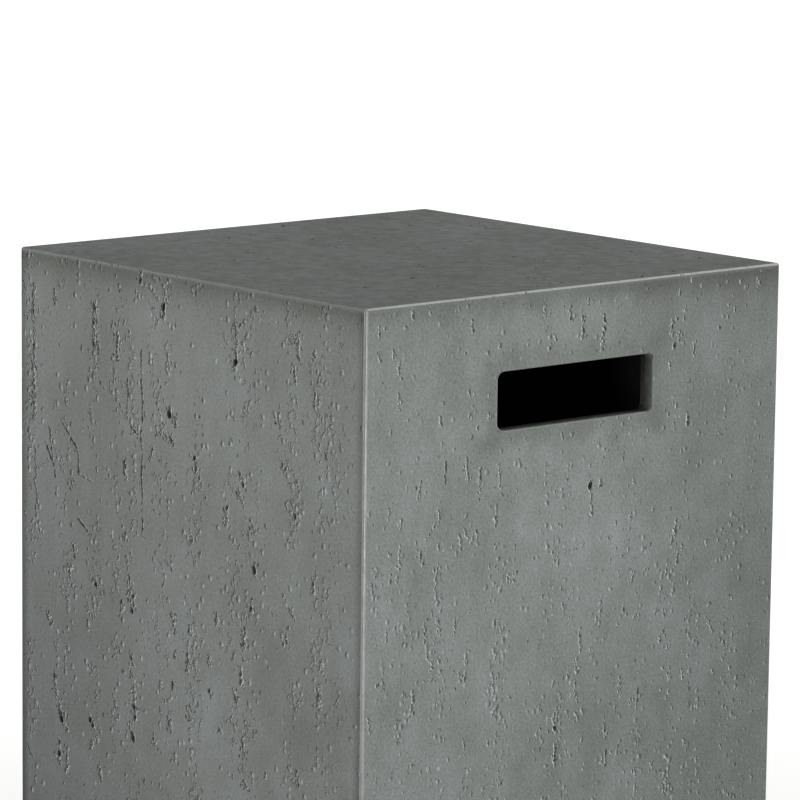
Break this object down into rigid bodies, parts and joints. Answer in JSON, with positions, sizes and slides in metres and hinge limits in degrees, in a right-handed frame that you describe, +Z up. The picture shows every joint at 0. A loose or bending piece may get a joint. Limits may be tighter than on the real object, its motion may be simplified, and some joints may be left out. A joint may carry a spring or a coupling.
{
  "type": "fire pit side table",
  "caption": "Square cast concrete side table, hollow and open below, with a hand slot in each side wall and screw-in levelling feet; stands over a gas cylinder and hides it.",
  "frame": {"origin": "on the floor under the middle of the table, with the feet screwed right in", "axes": "+Z up, -Y out of the plain front wall, +X out of the right-hand wall with a hand slot"},
  "size_m": [0.4, 0.4, 0.52],
  "materials": {
    "cast_concrete": "matte",
    "zinc_steel": "satin",
    "nylon": "matte",
    "rubber": "matte"
  },
  "bodies": {
    "shell": {"cast_shell": "cast_concrete", "front_left_insert": "zinc_steel", "front_right_insert": "zinc_steel", "rear_left_insert": "zinc_steel", "rear_right_insert": "zinc_steel"},
    "front_left_foot": {"front_left_pad": "nylon", "front_left_sole": "rubber"},
    "front_left_screw": {"front_left_stud": "zinc_steel"},
    "front_right_foot": {"front_right_pad": "nylon", "front_right_sole": "rubber"},
    "front_right_screw": {"front_right_stud": "zinc_steel"},
    "rear_left_foot": {"rear_left_pad": "nylon", "rear_left_sole": "rubber"},
    "rear_left_screw": {"rear_left_stud": "zinc_steel"},
    "rear_right_foot": {"rear_right_pad": "nylon", "rear_right_sole": "rubber"},
    "rear_right_screw": {"rear_right_stud": "zinc_steel"}
  },
  "joints": [
    {"name": "front_left_foot_travel", "type": "slide", "parent": "shell", "child": "front_left_foot", "axis": [0, 0, -1], "range_m": [0, 0.012]},
    {"name": "front_left_foot_turn", "type": "hinge", "parent": "front_left_foot", "child": "front_left_screw", "pos_m": [-0.166, -0.166, 0.016], "axis": [0, 0, -1], "range_deg": [0, 3456]},
    {"name": "front_right_foot_travel", "type": "slide", "parent": "shell", "child": "front_right_foot", "axis": [0, 0, -1], "range_m": [0, 0.012]},
    {"name": "front_right_foot_turn", "type": "hinge", "parent": "front_right_foot", "child": "front_right_screw", "pos_m": [0.166, -0.166, 0.016], "axis": [0, 0, -1], "range_deg": [0, 3456]},
    {"name": "rear_left_foot_travel", "type": "slide", "parent": "shell", "child": "rear_left_foot", "axis": [0, 0, -1], "range_m": [0, 0.012]},
    {"name": "rear_left_foot_turn", "type": "hinge", "parent": "rear_left_foot", "child": "rear_left_screw", "pos_m": [-0.166, 0.166, 0.016], "axis": [0, 0, -1], "range_deg": [0, 3456]},
    {"name": "rear_right_foot_travel", "type": "slide", "parent": "shell", "child": "rear_right_foot", "axis": [0, 0, -1], "range_m": [0, 0.012]},
    {"name": "rear_right_foot_turn", "type": "hinge", "parent": "rear_right_foot", "child": "rear_right_screw", "pos_m": [0.166, 0.166, 0.016], "axis": [0, 0, -1], "range_deg": [0, 3456]}
  ],
  "couplings": [
    {"joint": "front_left_foot_travel", "follows": "front_left_foot_turn", "m_per_rad": 0.00019894},
    {"joint": "front_right_foot_travel", "follows": "front_right_foot_turn", "m_per_rad": 0.00019894},
    {"joint": "rear_left_foot_travel", "follows": "rear_left_foot_turn", "m_per_rad": 0.00019894},
    {"joint": "rear_right_foot_travel", "follows": "rear_right_foot_turn", "m_per_rad": 0.00019894}
  ]
}
